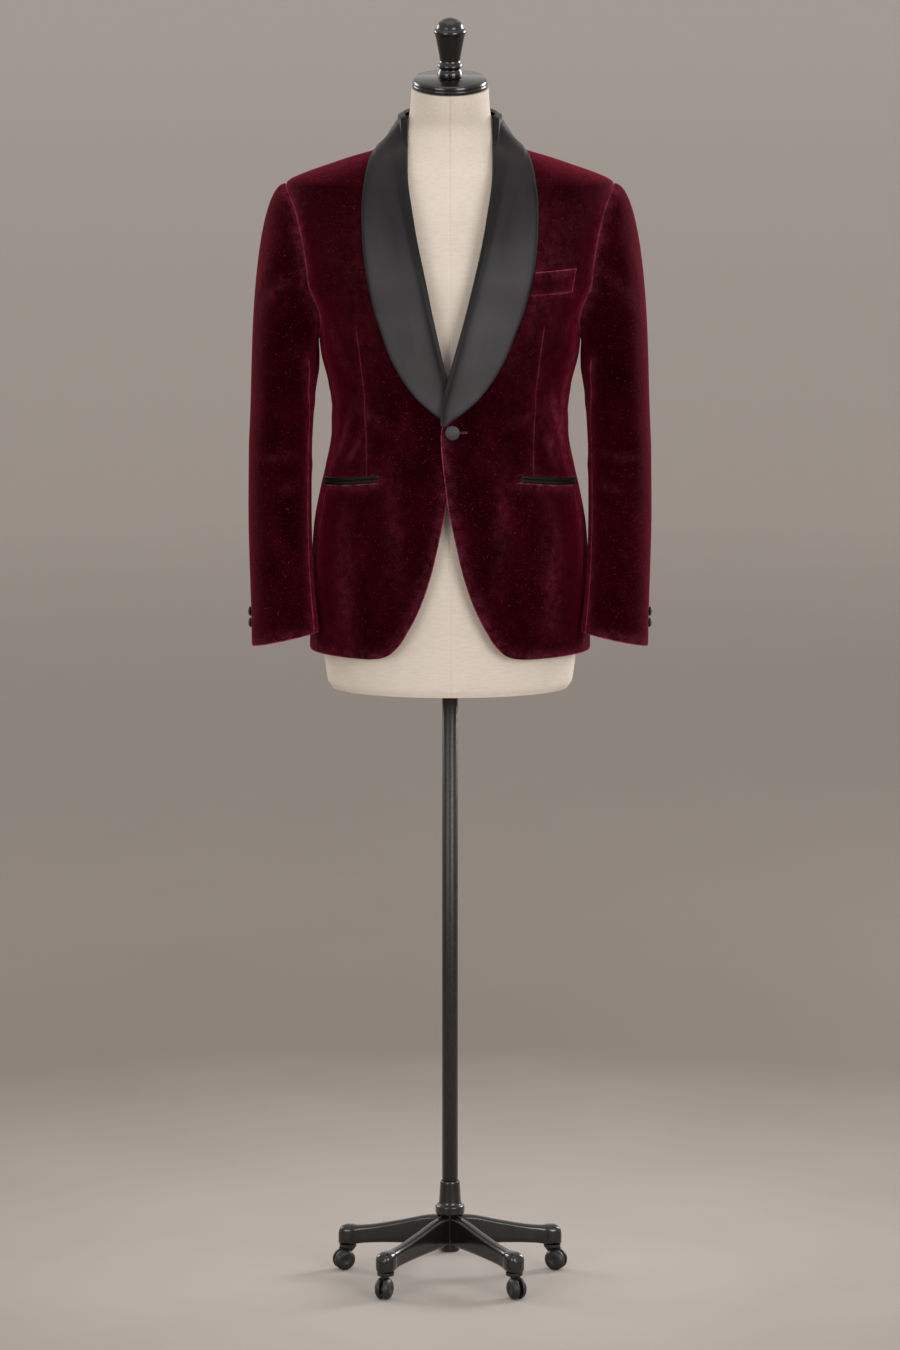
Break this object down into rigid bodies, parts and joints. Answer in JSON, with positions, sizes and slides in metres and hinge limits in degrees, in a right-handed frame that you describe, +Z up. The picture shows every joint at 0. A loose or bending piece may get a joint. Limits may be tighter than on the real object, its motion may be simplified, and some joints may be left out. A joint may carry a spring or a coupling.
{
  "type": "dinner jacket on a dress form with castor stand",
  "caption": "Velvet dinner jacket with a satin shawl collar, closed with a covered button, worn by a limbless canvas dress form on a pole and castor stand.",
  "frame": {"origin": "on the floor under the middle of the part, on the pole's axis to within a few millimetres", "axes": "+Z up the pole, -Y out of the jacket's front, +X to the wearer's left"},
  "size_m": [0.5586, 0.3165, 1.7692],
  "materials": {
    "velvet": "deep burgundy cotton velvet with a soft nap that is paler at grazing angles",
    "satin": "black satin with a soft sheen",
    "canvas": "matt cream canvas",
    "black_wood": "glossy black lacquer",
    "black_metal": "semi-gloss black paint",
    "black_plastic": "smooth black"
  },
  "bodies": {
    "form_and_jacket": {"front_left": "velvet", "side_left": "velvet", "back_left": "velvet", "top_sleeve_left": "velvet", "under_sleeve_left": "velvet", "shawl_left": "satin", "pocket_upper_jet_left": "satin", "pocket_lower_jet_left": "satin", "cuff_button_left_1": "satin", "cuff_button_left_2": "satin", "front_right": "velvet", "side_right": "velvet", "back_right": "velvet", "top_sleeve_right": "velvet", "under_sleeve_right": "velvet", "shawl_right": "satin", "pocket_upper_jet_right": "satin", "pocket_lower_jet_right": "satin", "cuff_button_right_1": "satin", "cuff_button_right_2": "satin", "under_collar": "velvet", "breast_welt": "velvet", "front_button": "satin", "torso_form": "canvas", "neck_cap": "black_wood", "finial": "black_wood", "pole": "black_metal", "base_hub": "black_metal", "leg_1": "black_metal", "leg_2": "black_metal", "leg_3": "black_metal", "leg_4": "black_metal", "leg_5": "black_metal"},
    "castor_1_swivel": {"castor_fork_1": "black_metal"},
    "castor_1_roll": {"castor_wheel_1": "black_plastic"},
    "castor_2_swivel": {"castor_fork_2": "black_metal"},
    "castor_2_roll": {"castor_wheel_2": "black_plastic"},
    "castor_3_swivel": {"castor_fork_3": "black_metal"},
    "castor_3_roll": {"castor_wheel_3": "black_plastic"},
    "castor_4_swivel": {"castor_fork_4": "black_metal"},
    "castor_4_roll": {"castor_wheel_4": "black_plastic"},
    "castor_5_swivel": {"castor_fork_5": "black_metal"},
    "castor_5_roll": {"castor_wheel_5": "black_plastic"}
  },
  "joints": [
    {"name": "castor_1_swivel", "type": "hinge", "parent": "form_and_jacket", "child": "castor_1_swivel", "pos_m": [0, 0.152, 0.0345], "axis": [0, 0, 1], "continuous": true},
    {"name": "castor_1_roll", "type": "hinge", "parent": "castor_1_swivel", "child": "castor_1_roll", "pos_m": [-0.00591, 0.15304, 0.015], "axis": [-0.1736, -0.9848, 0], "continuous": true},
    {"name": "castor_2_swivel", "type": "hinge", "parent": "form_and_jacket", "child": "castor_2_swivel", "pos_m": [-0.14456, 0.04697, 0.0345], "axis": [0, 0, 1], "continuous": true},
    {"name": "castor_2_roll", "type": "hinge", "parent": "castor_2_swivel", "child": "castor_2_roll", "pos_m": [-0.1502, 0.04492, 0.015], "axis": [0.342, -0.9397, 0], "continuous": true},
    {"name": "castor_3_swivel", "type": "hinge", "parent": "form_and_jacket", "child": "castor_3_swivel", "pos_m": [-0.08934, -0.12297, 0.0345], "axis": [0, 0, 1], "continuous": true},
    {"name": "castor_3_roll", "type": "hinge", "parent": "castor_3_swivel", "child": "castor_3_roll", "pos_m": [-0.0914, -0.12861, 0.015], "axis": [0.9397, -0.342, 0], "continuous": true},
    {"name": "castor_4_swivel", "type": "hinge", "parent": "form_and_jacket", "child": "castor_4_swivel", "pos_m": [0.08934, -0.12297, 0.0345], "axis": [0, 0, 1], "continuous": true},
    {"name": "castor_4_roll", "type": "hinge", "parent": "castor_4_swivel", "child": "castor_4_roll", "pos_m": [0.09234, -0.12817, 0.015], "axis": [0.866, 0.5, 0], "continuous": true},
    {"name": "castor_5_swivel", "type": "hinge", "parent": "form_and_jacket", "child": "castor_5_swivel", "pos_m": [0.14456, 0.04697, 0.0345], "axis": [0, 0, 1], "continuous": true},
    {"name": "castor_5_roll", "type": "hinge", "parent": "castor_5_swivel", "child": "castor_5_roll", "pos_m": [0.15, 0.04444, 0.015], "axis": [0.4226, 0.9063, 0], "continuous": true}
  ]
}
